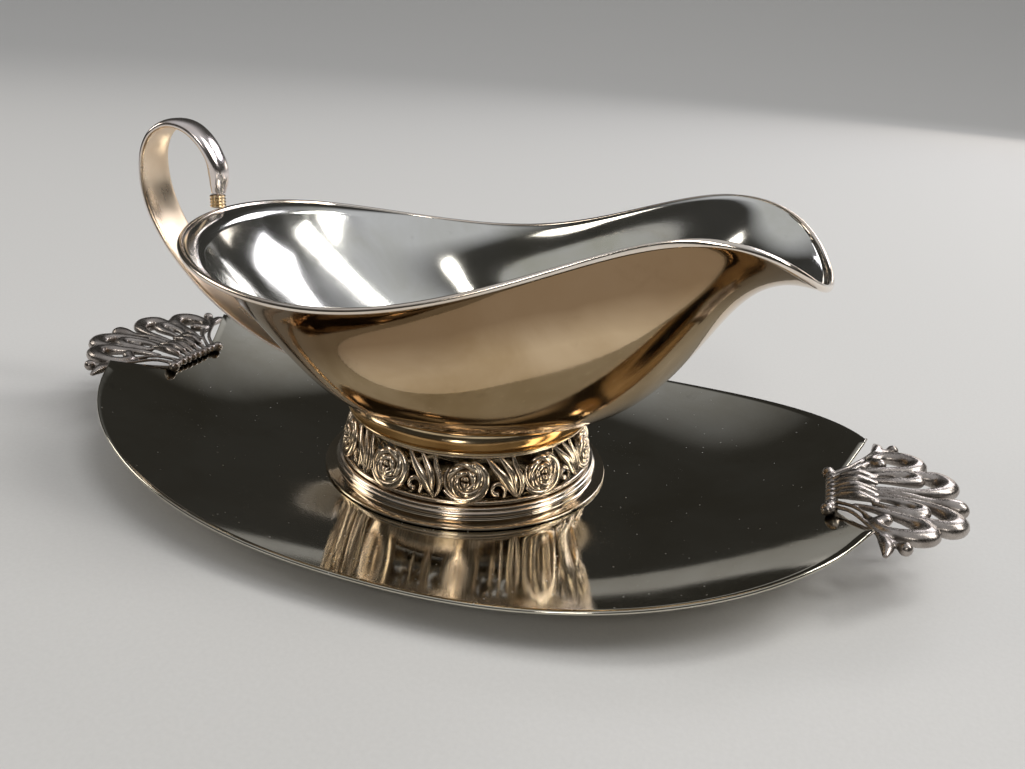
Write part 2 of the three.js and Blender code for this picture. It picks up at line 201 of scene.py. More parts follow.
# ---- materials --------------------------------------------------------------
class Nodes:
    """Short forms for building a node tree."""

    def __init__(self, name):
        self.material = bpy.data.materials.new(name)
        self.material.use_nodes = True
        self.tree = self.material.node_tree
        self.shader = self.tree.nodes["Principled BSDF"]
        self.coordinates = self.tree.nodes.new("ShaderNodeTexCoord").outputs["Object"]

    def link(self, source, target):
        self.tree.links.new(source, target)

    def stretched(self, scale):
        node = self.tree.nodes.new("ShaderNodeMapping")
        node.inputs["Scale"].default_value = scale
        self.link(self.coordinates, node.inputs["Vector"])
        return node.outputs["Vector"]

    def noise(self, scale, detail=4, roughness=0.55, vector=None, distortion=0):
        node = self.tree.nodes.new("ShaderNodeTexNoise")
        node.inputs["Scale"].default_value = scale
        node.inputs["Detail"].default_value = detail
        node.inputs["Roughness"].default_value = roughness
        node.inputs["Distortion"].default_value = distortion
        self.link(vector or self.coordinates, node.inputs["Vector"])
        return node.outputs["Fac"]

    def specks(self, scale, size):
        """1 in small round specks scattered over the surface, else 0."""
        node = self.tree.nodes.new("ShaderNodeTexVoronoi")
        node.inputs["Scale"].default_value = scale
        self.link(self.coordinates, node.inputs["Vector"])
        return self.span(node.outputs["Distance"], size, size * 0.6, 0, 1)

    def span(self, source, low, high, start, end):
        """Maps a value from low..high to start..end."""
        node = self.tree.nodes.new("ShaderNodeMapRange")
        limits = {"From Min": low, "From Max": high, "To Min": start, "To Max": end}
        for name, value in limits.items():
            node.inputs[name].default_value = value
        self.link(source, node.inputs["Value"])
        return node.outputs["Result"]

    def maths(self, kind, first, second):
        node = self.tree.nodes.new("ShaderNodeMath")
        node.operation = kind
        for socket, value in zip(node.inputs, (first, second)):
            if isinstance(value, (int, float)):
                socket.default_value = value
            else:
                self.link(value, socket)
        return node.outputs["Value"]

    def blend(self, share, first, second):
        """Mixes two colours, each a tuple or an output, by a share."""
        node = self.tree.nodes.new("ShaderNodeMix")
        node.data_type = "RGBA"
        self.link(share, node.inputs["Factor"])
        for socket, value in zip((node.inputs[6], node.inputs[7]), (first, second)):
            if isinstance(value, tuple):
                socket.default_value = (*value, 1)
            else:
                self.link(value, socket)
        return node.outputs[2]

    def relief(self, heights):
        """Bumps: a list of (height output, distance in metres, strength)."""
        last = None
        for height, distance, strength in heights:
            node = self.tree.nodes.new("ShaderNodeBump")
            node.inputs["Distance"].default_value = distance
            node.inputs["Strength"].default_value = strength
            self.link(height, node.inputs["Height"])
            if last:
                self.link(last, node.inputs["Normal"])
            last = node.outputs["Normal"]
        self.link(last, self.shader.inputs["Normal"])

    def part(self, axis):
        """One coordinate of the place on the piece, in metres."""
        node = self.tree.nodes.new("ShaderNodeSeparateXYZ")
        self.link(self.coordinates, node.inputs["Vector"])
        return node.outputs[axis]

    def hollows(self, distance):
        """0 in deep recesses and 1 on open surfaces."""
        node = self.tree.nodes.new("ShaderNodeAmbientOcclusion")
        node.inputs["Distance"].default_value = distance
        node.samples = 6
        return node.outputs["AO"]


# Painted dark reflection under the bowl's rim: how it tilts along x, where it starts and where it is
# full
PAINTED_DARK_REFLECTION_SLOPE = 0.3
PAINTED_DARK_REFLECTION_FROM = 0.046
PAINTED_DARK_REFLECTION_FULL = 0.056
DUST_COLOUR = (0.75, 0.73, 0.68)


def sheet_silver(name, bright, tarnished, roughness, dust=0.0, painted_dark_reflection=None):
    """Polished silver plate: patches of tarnish, smears, hairline scratches and dust.

    The painted dark reflection colour, if given, is painted in a band under the rim, lower at the back
    than at the lip. It stands in for the dark surroundings that the upper outside would mirror.
    """
    nodes = Nodes(name)
    shader = nodes.shader
    shader.inputs["Metallic"].default_value = 1
    patches = nodes.span(nodes.noise(26, 5, 0.6, distortion=0.6), 0.38, 0.68, 0, 1)
    colour = nodes.blend(patches, bright, tarnished)
    stains = nodes.span(nodes.noise(75, 6, 0.7), 0.62, 0.72, 0, 0.35)
    colour = nodes.blend(stains, colour, tuple(0.55 * part for part in tarnished))
    # Painted dark reflection: a dark band painted under the rim in place of the dark room the metal
    # would mirror there
    if painted_dark_reflection:
        height = nodes.part("Z")
        tilt = nodes.maths("MULTIPLY", nodes.part("X"), PAINTED_DARK_REFLECTION_SLOPE)
        level = nodes.maths("SUBTRACT", height, tilt)
        waver = nodes.span(nodes.noise(30, 3), 0.3, 0.7, -0.002, 0.002)
        level = nodes.maths("ADD", level, waver)
        share = nodes.span(level, PAINTED_DARK_REFLECTION_FROM, PAINTED_DARK_REFLECTION_FULL, 0, 0.85)
        colour = nodes.blend(share, colour, painted_dark_reflection)
    smears = nodes.noise(1, 3, 0.5, nodes.stretched((30, 90, 60)))
    rough = nodes.span(smears, 0.3, 0.75, roughness * 0.7, roughness * 1.5)
    hairlines = nodes.noise(1, 2, 0.6, nodes.stretched((420, 2600, 1500)))
    crosslines = nodes.noise(1, 2, 0.6, nodes.stretched((2300, 380, 1200)))
    rough = nodes.maths("ADD", rough, nodes.span(hairlines, 0.6, 0.75, 0, 0.05))
    if dust:
        specks = nodes.specks(300, 0.085)
        fine = nodes.specks(900, 0.07)
        gate = nodes.span(nodes.noise(55, 2), 0.5, 0.6, 0, 1)
        motes = nodes.maths("MAXIMUM", specks, nodes.maths("MULTIPLY", fine, gate))
        motes = nodes.maths("MULTIPLY", motes, dust)
        rough = nodes.maths("ADD", rough, nodes.maths("MULTIPLY", motes, 0.5))
        colour = nodes.blend(motes, colour, DUST_COLOUR)
    nodes.link(rough, shader.inputs["Roughness"])
    nodes.link(colour, shader.inputs["Base Color"])
    ripples = nodes.noise(38, 2, 0.4)
    nodes.relief([
        (ripples, 0.0009, 0.05),
        (hairlines, 0.00003, 0.10),
        (crosslines, 0.00003, 0.08),
    ])
    return nodes.material


def cast_silver(name, bright, shaded, recess, roughness, reach=0.0016):
    """Cast silver plate: bright on its crowns, dark oxide in the recesses, fine grain."""
    nodes = Nodes(name)
    shader = nodes.shader
    shader.inputs["Metallic"].default_value = 1
    patches = nodes.span(nodes.noise(160, 5, 0.6), 0.35, 0.7, 0, 1)
    colour = nodes.blend(patches, bright, shaded)
    open_share = nodes.span(nodes.hollows(reach), 0.35, 0.92, 0, 1)
    colour = nodes.blend(open_share, recess, colour)
    nodes.link(colour, shader.inputs["Base Color"])
    grain = nodes.noise(1900, 4, 0.6)
    rough = nodes.span(grain, 0.3, 0.7, roughness * 0.75, roughness * 1.4)
    rough = nodes.maths("ADD", rough, nodes.span(open_share, 0, 1, 0.3, 0))
    nodes.link(rough, shader.inputs["Roughness"])
    nodes.relief([(nodes.noise(420, 3, 0.5), 0.0003, 0.12), (grain, 0.00005, 0.06)])
    return nodes.material


def brass():
    """Dull, patchy brass for the fixing parts under the plate."""
    nodes = Nodes("dull_brass")
    nodes.shader.inputs["Metallic"].default_value = 1
    patches = nodes.span(nodes.noise(300, 4, 0.6), 0.35, 0.65, 0, 1)
    colour = nodes.blend(patches, (0.62, 0.5, 0.27), (0.36, 0.27, 0.14))
    nodes.link(colour, nodes.shader.inputs["Base Color"])
    nodes.link(nodes.span(patches, 0, 1, 0.3, 0.5), nodes.shader.inputs["Roughness"])
    nodes.relief([(nodes.noise(1500, 3), 0.00005, 0.2)])
    return nodes.material


# The bowl's outside gets a painted dark reflection band under its rim
bowl_silver = sheet_silver("bowl_silver", (0.70, 0.53, 0.34), (0.50, 0.35, 0.19), 0.075,
                           painted_dark_reflection=(0.26, 0.165, 0.09))
flare_silver = sheet_silver("flare_silver", (0.78, 0.68, 0.54), (0.58, 0.47, 0.33), 0.08)
inside_silver = sheet_silver("inside_silver", (0.86, 0.85, 0.82), (0.72, 0.71, 0.63), 0.11)
loop_inner_silver = sheet_silver("loop_inner_silver", (0.92, 0.76, 0.58), (0.80, 0.60, 0.42), 0.3)
plate_silver = sheet_silver("plate_silver", (0.62, 0.59, 0.51), (0.50, 0.46, 0.37), 0.06, dust=0.8)
handle_silver = sheet_silver("handle_silver", (0.92, 0.86, 0.85), (0.84, 0.72, 0.64), 0.2)
edge_silver = sheet_silver("edge_silver", (0.93, 0.86, 0.78), (0.82, 0.68, 0.54), 0.14)
foot_gold = sheet_silver("foot_gold", (0.82, 0.66, 0.43), (0.60, 0.43, 0.24), 0.14)
gallery_gold = cast_silver(
    "gallery_gold", (0.96, 0.82, 0.66), (0.84, 0.65, 0.46), (0.14, 0.09, 0.05), 0.2)
handle_cast = cast_silver(
    "handle_cast", (0.54, 0.49, 0.45), (0.30, 0.26, 0.23), (0.018, 0.015, 0.012), 0.26,
    reach=0.003)
dull_brass = brass()


# ---- underplate ---------------------------------------------------------------
PLATE_THICK = 1.2
PLATE_SHOWN_THICK = 1.0
PLATE_HALF_LENGTH = 116
PLATE_HALF_WIDTH = node_box("underplate")[1].y
PLATE_SQUARENESS = 2.23
PLATE_SIDE_HEIGHT = 8.8
PLATE_END_RISE = 14.6
DISH_POWER = 1.6
DISH_POWER_MORE_AT_ENDS = 0.8
WELL_RADIUS = 46
NOTCH_INNER = (104.6, 10.4)
NOTCH_OUTER = (111.4, 27.9)

foot_low, foot_high = node_box("foot_skirt")
FOOT_X = (foot_low.x + foot_high.x) / 2
BOSS_OUTER = 36
BOSS_INNER = 31.5
BOSS_TOP = 5.5
MIDDLE_RADII = (2.6, 12, 22)
LAST_MIDDLE_RADIUS = 40


def plate_radius(angle):
    """Distance from the middle to the plate's edge, as if it had no cut-outs."""
    across = abs(math.cos(angle) / PLATE_HALF_LENGTH) ** PLATE_SQUARENESS
    along = abs(math.sin(angle) / PLATE_HALF_WIDTH) ** PLATE_SQUARENESS
    return (across + along) ** (-1 / PLATE_SQUARENESS)


def plate_top(x, y):
    """Height of the plate's upper face."""
    from_boss = math.hypot(x - FOOT_X, y)
    if from_boss <= BOSS_OUTER:
        rise = smoothstep(BOSS_OUTER - from_boss, 0, BOSS_OUTER - BOSS_INNER)
        return lerp(PLATE_THICK, BOSS_TOP, rise)
    angle = math.atan2(y, x)
    rim = plate_radius(angle)
    share = max(0.0, math.hypot(x, y) - WELL_RADIUS) / (rim - WELL_RADIUS)
    end = abs(rim * math.cos(angle) / PLATE_HALF_LENGTH) ** PLATE_SQUARENESS
    edge = PLATE_SIDE_HEIGHT + PLATE_END_RISE * end - PLATE_THICK
    return PLATE_THICK + edge * share ** (DISH_POWER + DISH_POWER_MORE_AT_ENDS * end)


def clipped_radius(angle):
    """Distance from the middle to the plate's edge, cut-outs included."""
    x, y = abs(math.cos(angle)), abs(math.sin(angle))
    slope = math.atan2(y, x)
    if slope < math.atan2(NOTCH_INNER[1], NOTCH_INNER[0]):
        return NOTCH_INNER[0] / x
    if slope < math.atan2(NOTCH_OUTER[1], NOTCH_OUTER[0]):
        run_x, run_y = NOTCH_OUTER[0] - NOTCH_INNER[0], NOTCH_OUTER[1] - NOTCH_INNER[1]
        return (NOTCH_INNER[0] * run_y - NOTCH_INNER[1] * run_x) / (x * run_y - y * run_x)
    return plate_radius(angle)


def plate_angles():
    """Directions round the plate, with each corner of the cut-outs on one of them."""
    inner = math.atan2(NOTCH_INNER[1], NOTCH_INNER[0])
    outer = math.atan2(NOTCH_OUTER[1], NOTCH_OUTER[0])
    nudge = 0.002
    quarter = [lerp(0, inner, k / 5) for k in range(5)]
    quarter += [inner, *(lerp(inner, outer - nudge, k / 8) for k in range(1, 9)), outer]
    quarter += [lerp(outer, math.pi / 2, k / 40) for k in range(1, 41)]
    half = quarter + [math.pi - angle for angle in reversed(quarter[:-1])]
    return half + [math.pi + angle for angle in half[1:-1]]


def underplate():
    """The dished sheet: rings round the foot, then rings out to the rounded edge."""
    angles = plate_angles()
    shares = [k / 30 for k in range(31)]
    slope = [lerp(BOSS_INNER, BOSS_OUTER, k / 5) for k in range(6)]
    boss = [*MIDDLE_RADII, *slope, LAST_MIDDLE_RADIUS]

    def ring(row, drop):
        points = []
        for angle in angles:
            if row < len(boss):
                radius, centre = boss[row], FOOT_X
            else:
                reach = clipped_radius(angle) - PLATE_SHOWN_THICK / 2
                radius, centre = lerp(WELL_RADIUS, reach, shares[row - len(boss)]), 0
            x = centre + radius * math.cos(angle)
            y = radius * math.sin(angle)
            points.append(Vector((x, y, plate_top(x, y) - drop)))
        return points

    rows = len(boss) + len(shares)
    upper = [ring(row, 0) for row in range(rows)]
    lower = [ring(row, PLATE_SHOWN_THICK) for row in range(rows)]
    edge = []
    swell = PLATE_SHOWN_THICK / 2
    outwards = [Vector((math.cos(angle), math.sin(angle), 0)) for angle in angles]
    for turn in (60, 20, -20, -60):
        lift = math.radians(turn)
        edge.append([
            (top + low) / 2 + out * swell * math.cos(lift) + Vector((0, 0, swell * math.sin(lift)))
            for top, low, out in zip(upper[-1], lower[-1], outwards)
        ])
    build = Build()
    build.skin(upper + edge + lower[::-1], flip=True)
    finish_piece(build.object("underplate_sheet"), "underplate", plate_silver)


underplate()


# ---- foot ---------------------------------------------------------------------
def arc(centre, radius, start, end, steps):
    """Points of a round moulding, angles in degrees from straight outwards."""
    return [
        (centre[0] + radius * math.cos(math.radians(lerp(start, end, k / steps))),
         centre[1] + radius * math.sin(math.radians(lerp(start, end, k / steps))))
        for k in range(steps + 1)
    ]


def foot_turning(name, node, profile, material):
    """One turned piece of the foot."""
    build = Build()
    build.turned(profile, (FOOT_X, 0))
    finish_piece(build.object(name), node, material)


def foot_skirt():
    """The polished flare that lies on the plate."""
    low, high = node_box("foot_skirt")
    outer = (high.x - low.x) / 2
    riser = outer - 3.7
    profile = [(outer - 0.3, low.z), *arc((outer - 0.3, low.z + 0.3), 0.28, -60, 75, 6),
               (outer - 1.2, low.z + 0.66), (riser + 0.7, low.z + 0.84), (riser + 0.2, low.z + 1.0),
               (riser, low.z + 1.2), (riser, high.z), (outer - 5, high.z), (outer - 5, low.z)]
    foot_turning("foot_flare", "foot_skirt", profile, flare_silver)


def foot_base_ring():
    """The double moulding under the gallery."""
    low, high = node_box("foot_base_ring")
    outer = (high.x - low.x) / 2
    lower = (outer - 0.8, low.z + 0.8)
    upper = (outer - 1.15, high.z - 0.56)
    profile = [(outer - 4.2, low.z), (outer - 1.0, low.z), *arc(lower, 0.78, -75, 62, 10),
               *arc(upper, 0.54, -55, 80, 8), (outer - 2.2, high.z), (outer - 4.2, high.z)]
    foot_turning("foot_moulding", "foot_base_ring", profile, edge_silver)


def foot_collar():
    """The hollow-sided collar between the gallery and the bowl."""
    low, high = node_box("foot_collar")
    outer = (high.x - low.x) / 2
    neck = outer - 3.4
    cove = []
    for k in range(13):
        share = k / 12
        radius = lerp(outer - 0.35, neck, 1 - (1 - share) ** 2)
        height = lerp(low.z + 0.85, high.z, share ** 1.25)
        cove.append((radius, height))
    bead = arc((outer - 0.45, low.z + 0.45), 0.44, -70, 70, 7)
    profile = [(outer - 2.6, low.z), (outer - 0.6, low.z), *bead, *cove,
               (neck - 1.1, high.z), (neck - 0.7, high.z - 2.2)]
    foot_turning("foot_cove", "foot_collar", profile, foot_gold)


foot_skirt()
foot_base_ring()
foot_collar()

gallery_low, gallery_high = node_box("foot_gallery")
GALLERY_FOOT_RADIUS = 38.2
GALLERY_HEAD_RADIUS = 34.8
GALLERY_REPEATS = 10
GALLERY_TURN = math.radians(3)
GALLERY_DEPTH = 1.3
GALLERY_TALL = gallery_high.z - gallery_low.z
GALLERY_MID_RADIUS = (GALLERY_FOOT_RADIUS + GALLERY_HEAD_RADIUS) / 2
GALLERY_PITCH = TURN * GALLERY_MID_RADIUS / GALLERY_REPEATS


def on_gallery(along, height, out):
    """A place on the pierced band from its run round the band, height and relief."""
    face = lerp(GALLERY_FOOT_RADIUS, GALLERY_HEAD_RADIUS, height / GALLERY_TALL)
    radius = face - GALLERY_DEPTH + out
    angle = along / GALLERY_MID_RADIUS
    x = FOOT_X + radius * math.cos(angle)
    return Vector((x, radius * math.sin(angle), gallery_low.z + height))


def gallery_strand(build, route, radii, normal_angle, steps=18, sides=8, flat=0.75):
    """A tapering strand laid on the band. Each route entry is run, height and relief."""
    normal = Vector((math.cos(normal_angle), math.sin(normal_angle), 0.28))
    build.tube([on_gallery(*place) for place in route], radii, steps, sides, flat, normal)


def petal(build, centre, radius, start, sweep, size, out, facing):
    """A curled petal that starts near a rose's middle and swings outwards."""
    route = []
    for k in range(6):
        angle = math.radians(start + sweep * k / 5)
        reach = radius * lerp(0.72, 1.1, k / 5)
        lift = out + 0.35 * math.sin(math.pi * k / 5)
        place = (centre[0] + reach * math.cos(angle), centre[1] + reach * math.sin(angle), lift)
        route.append(place)
    sizes = [size * share for share in (0.3, 0.85, 1.2, 1.25, 0.9, 0.3)]
    gallery_strand(build, route, sizes, facing, 14, 8, 0.9)


# A rose's dome: radius and relief of each ring
ROSE_DOME = ((4.2, -0.6), (4.3, 0.0), (3.9, 0.35), (2.8, 0.65), (1.5, 0.8))
# Its rings of petals: radius, count, thickness, relief, first angle and sweep
ROSE_PETALS = (
    (4.2, 5, 0.85, 0.4, 10, 118),
    (2.4, 4, 0.75, 0.95, 50, 135),
    (0.95, 2, 0.55, 1.4, 0, 170),
)


def rose(build, along, height, facing):
    """A full-blown rose: a low dome under three rings of curled petals."""
    rings = []
    turns = [TURN * k / 24 for k in range(24)]
    for radius, out in ROSE_DOME:
        rings.append([
            on_gallery(along + radius * math.cos(turn), height + radius * math.sin(turn), out)
            for turn in turns
        ])
    build.skin(rings, (on_gallery(along, height, -0.6), on_gallery(along, height, 0.85)))
    for radius, count, size, out, first, sweep in ROSE_PETALS:
        for k in range(count):
            start = first + 360 * k / count
            petal(build, (along, height), radius, start, sweep, size, out, facing)


SCROLL_END = 425
# Strands of a scroll: reach at its start and end, first and last angle, thickness and relief
SCROLL_STRANDS = (
    (6.6, 5.3, 215, SCROLL_END, 1.15, 0.35),
    (5.5, 5.6, 150, 290, 0.6, 0.3),
    (8.0, 6.6, 250, 330, 0.5, 0.1),
)


def scroll(build, along, height, facing):
    """A stout strand that sweeps under a rose and up one side to a ball, and two thin ones."""
    for reach_start, reach_end, begin, finish, size, out in SCROLL_STRANDS:
        route = []
        for k in range(9):
            angle = math.radians(lerp(begin, finish, k / 8))
            reach = lerp(reach_start, reach_end, k / 8)
            route.append((along + reach * math.cos(angle), height + 0.9 * reach * math.sin(angle), out))
        sizes = [size * share for share in (0.4, 0.7, 0.95, 1.05, 1.1, 1.05, 0.95, 0.8, 0.7)]
        gallery_strand(build, route, sizes, facing, 30, 10, 0.85)
    end = math.radians(SCROLL_END)
    tip = on_gallery(along + 4.6 * math.cos(end), height + 4.3 * math.sin(end), 0.7)
    build.ball(tip, 0.95, rows=6, sides=10)


# Leaves of a spray: run, height and relief along each, and its radii
LEAF_BLADES = (
    ([(3.4, 0.9, 0), (1.6, 3.6, 0.5), (-0.4, 6.6, 0.7), (-2.8, 9.2, 0.5),
      (-5.4, GALLERY_TALL - 1.2, 0)], [0.5, 1.1, 1.4, 1.1, 0.35]),
    ([(2.6, 1.6, 0), (2.4, 4.6, 0.6), (1.8, 7.4, 0.6), (0.2, 10.0, 0.3),
      (-1.8, GALLERY_TALL - 0.8, 0)], [0.4, 1.0, 1.25, 0.9, 0.3]),
    ([(3.6, 1.4, 0), (4.6, 4.0, 0.5), (4.4, 6.8, 0.5), (3.2, 9.4, 0.3),
      (2.4, GALLERY_TALL - 0.8, 0)], [0.35, 0.8, 1.0, 0.8, 0.35]),
)


def leaf_spray(build, along, facing):
    """Three curved, ribbed leaves and one curl that fan between two roses."""
    for route, radii in LEAF_BLADES:
        places = [(along + run, height, out) for run, height, out in route]
        gallery_strand(build, places, radii, facing, 18, 9, 0.55)
        rib = [(run, height, out + 0.5) for run, height, out in places]
        gallery_strand(build, rib[:-1], [0.12, 0.22, 0.22, 0.1], facing, 12, 6, 1)
    curl = []
    for k in range(8):
        angle = math.radians(lerp(-40, 260, k / 7))
        reach = lerp(2.5, 1.0, k / 7)
        curl.append((along - 2.6 + reach * math.cos(angle), 3.6 + reach * math.sin(angle), 0.25))
    gallery_strand(build, curl, [0.5, 0.65, 0.7, 0.65, 0.6, 0.55, 0.6, 0.75], facing, 20, 8, 1)


def gallery_rails(build):
    """The round rails at the foot and the head of the pierced band."""
    count = 200
    for height, size in ((0.55, 0.62), (GALLERY_TALL - 0.55, 0.55)):
        rings = []
        for k in range(count):
            angle = TURN * k / count
            place = on_gallery(angle * GALLERY_MID_RADIUS, height, 0.35)
            out = Vector((math.cos(angle), math.sin(angle), 0))
            rings.append([place + out * size * 1.1 * math.cos(TURN * j / 8)
                          + Vector((0, 0, size * math.sin(TURN * j / 8))) for j in range(8)])
        build.skin(rings)


def foot_gallery():
    """The pierced band: rails, and a rose, a scroll and a leaf spray in each repeat."""
    build = Build()
    gallery_rails(build)
    for k in range(GALLERY_REPEATS):
        along = k * GALLERY_PITCH + GALLERY_TURN * GALLERY_MID_RADIUS
        facing = along / GALLERY_MID_RADIUS
        rose(build, along, GALLERY_TALL / 2, facing)
        scroll(build, along, GALLERY_TALL / 2, facing)
        between = along + GALLERY_PITCH / 2
        leaf_spray(build, between, between / GALLERY_MID_RADIUS)
    finish_piece(build.object("gallery_roses"), "foot_gallery", gallery_gold)


foot_gallery()

# ---- bowl -----------------------------------------------------------------------
BOWL_THICK = 1.1
BOWL_BASE_RADIUS = 32.2
BOWL_BOTTOM_DROP = 2.6
BOWL_BASE_HEIGHT = node_box("bowl_body")[0].z + BOWL_BOTTOM_DROP
FLANGE_NARROW = 0.7
FLANGE_MORE_AT_BACK = 4.1
FLANGE_SLOPE = 0.22
RIM_INSET = 1.1
RIM_WIRE_RADIUS = 0.95
RIM_WIRE_LIFT = 0.35
RIM_MIDDLE = 3.25
RIM_HALF_LENGTH = 88.78
# Weights of sines or cosines of whole multiples of the turn, for the rim and the wall
RIM_ACROSS = (57.45, 7.11, 5.11, -3.48, 2.27)
RIM_HEIGHT = (62.39, -8.77, 2.34, 5.85, -3.09, 0.88)
WALL = {
    "rim_inward": (12.35, -2.58, 5.13, -5.41, 1.04),
    "rim_down": (7.58, 7.12, -1.93, 2.87, 0.08),
    "belly_out": (6.9, -2.91, -1.39, 0.57, 1.59),
    "belly_up": (-2.8, 0.62, 2.8, -2.3, -0.23),
    "base_out": (15.27, -2.14, 0.95, -1.64, -0.73),
    "base_up": (1.76, 1.93, -1.03, 0.21, -0.15),
}


def cosines(turn, weights):
    """A sum of cosines of whole multiples of the turn."""
    return sum(weight * math.cos(k * turn) for k, weight in enumerate(weights))


def rim_point(turn):
    """Edge of the bowl's wall. The turn runs from 0 at the back to pi at the lip."""
    x = RIM_MIDDLE - RIM_HALF_LENGTH * math.cos(turn)
    y = sum(weight * math.sin((k + 1) * turn) for k, weight in enumerate(RIM_ACROSS))
    z = cosines(turn, RIM_HEIGHT) + PLATE_SIDE_HEIGHT - RIM_INSET
    inward = 1 - RIM_INSET / math.sqrt(x * x + y * y + 1)
    return Vector((x * inward, y * inward, z))


def flange_width(turn):
    """The edge is turned out flat, widely at the back and narrowly along the sides."""
    back = smoothstep(turn, math.radians(60), math.radians(30))
    return FLANGE_NARROW + FLANGE_MORE_AT_BACK * back


def wall_profile(turn):
    """Outer face of the bowl from the rim to the middle of the bottom, for half a turn."""
    weigh = {name: cosines(turn, weights) for name, weights in WALL.items()}
    rim = rim_point(turn)
    out = Vector((-math.cos(turn), math.sin(turn), 0))
    base = out * BOWL_BASE_RADIUS + Vector((FOOT_X, 0, BOWL_BASE_HEIGHT))
    away = Vector((rim.x - base.x, rim.y - base.y, 0)).normalized()
    up = Vector((0, 0, 1))
    width = flange_width(turn)
    crease = rim - away * width - up * (FLANGE_SLOPE * width)
    first = rim - away * weigh["rim_inward"] - up * weigh["rim_down"]
    second = (rim + base) / 2 + out * weigh["belly_out"] + up * weigh["belly_up"]
    third = base + out * weigh["base_out"] + up * weigh["base_up"]
    controls = (crease, first, second, third, base)
    points = [rim.lerp(crease, share) for share in (0, 0.3, 0.6)]
    points.append(crease.lerp(rim, 0.2))
    for share in [0.012, 0.03] + [0.06 + 0.94 * (k / 44) for k in range(45)]:
        line = controls
        while len(line) > 1:
            line = [a.lerp(b, share) for a, b in zip(line, line[1:])]
        points.append(line[0])
    middle = Vector((FOOT_X, 0, 0))
    for share in (0.85, 0.7, 0.5, 0.3, 0.12):
        level = BOWL_BASE_HEIGHT - BOWL_BOTTOM_DROP * (1 - share * share)
        points.append(middle + out * BOWL_BASE_RADIUS * share + up * level)
    return points


def bowl_grid(segments):
    """The outer face as rings of points, from the rim down."""
    profiles = []
    for k in range(segments):
        turn = TURN * k / segments
        if turn <= math.pi:
            profiles.append(wall_profile(turn))
        else:
            profiles.append([Vector((p.x, -p.y, p.z)) for p in wall_profile(TURN - turn)])
    return [list(ring) for ring in zip(*profiles)]


def grid_normals(rings):
    """Outward normals of a grid of rings that runs down the outside of a bowl."""
    count = len(rings[0])
    normals = []
    for row, ring in enumerate(rings):
        above = rings[max(0, row - 1)]
        below = rings[min(len(rings) - 1, row + 1)]
        normals.append([
            (ring[(k + 1) % count] - ring[k - 1]).cross(below[k] - above[k]).normalized()
            for k in range(count)
        ])
    return normals


def bowl_sheet(outer, normals):
    """The bowl with its true wall thickness, and a second material on its inside."""
    inner = [
        [point - normal * BOWL_THICK for point, normal in zip(*row)]
        for row in zip(outer, normals)
    ]
    low_point = Vector((FOOT_X, 0, BOWL_BASE_HEIGHT - BOWL_BOTTOM_DROP))
    build = Build()
    build.skin(inner[::-1] + outer, (low_point + Vector((0, 0, BOWL_THICK)), low_point))
    sheet = build.object("bowl_sheet")
    finish_piece(sheet, "bowl_body", bowl_silver)
    sheet.data.materials.append(inside_silver)
    sides = len(outer[0])
    poles = (2 * len(outer) - 1) * sides
    for face in sheet.data.polygons:
        at_pole = face.index - poles
        inside = at_pole % 2 == 0 if at_pole >= 0 else face.index < len(inner) * sides
        face.material_index = 1 if inside else 0


def rim_wire(outer, normals):
    """The round wire along the edge of the bowl."""
    wire = []
    for k, edge in enumerate(outer[0]):
        out = normals[0][k]
        up = (edge - outer[1][k]).normalized()
        centre = edge - out * BOWL_THICK / 2 + up * RIM_WIRE_LIFT
        wire.append([centre + out * RIM_WIRE_RADIUS * math.cos(TURN * j / 14)
                     + up * RIM_WIRE_RADIUS * math.sin(TURN * j / 14) for j in range(14)])
    build = Build()
    build.skin(wire)
    finish_piece(build.object("rim_wire"), "bowl_rim_wire", edge_silver)


bowl_outside = bowl_grid(240)
bowl_normals = grid_normals(bowl_outside)
bowl_sheet(bowl_outside, bowl_normals)
rim_wire(bowl_outside, bowl_normals)

# ---- bowl handle -------------------------------------------------------------------
# Entries are x, height above the plate's side edge and strap width
STRAP_ROUTE = [
    (-88.8, 63.4, 5.5), (-88.3, 68.5, 6.2), (-89.2, 74, 6.8), (-92.6, 79.2, 7.4),
    (-97.6, 82.6, 8.2), (-103.4, 83.1, 9.2), (-108.6, 80.2, 10.4), (-111.6, 75, 11.6),
    (-112.5, 68.6, 12.6), (-111.9, 62, 13.4), (-109.4, 54.6, 14), (-104.8, 46.8, 14),
    (-98.8, 39.7, 13.8), (-91.6, 33, 13.4), (-83.6, 27.2, 12.8), (-75, 22.4, 12),
    (-66, 18.6, 11.2), (-57, 16.6, 10.4), (-49.5, 16.5, 9.8), (-45.4, 17.2, 9.4),
]
STRAP_THICK = 2.3
STRAP_BULGE_OUT = 0.45
STRAP_BULGE_IN = 0.9
STRAP_SINK = 0.75
BUD_SHARE = 0.062
BUD_HALF = 0.055


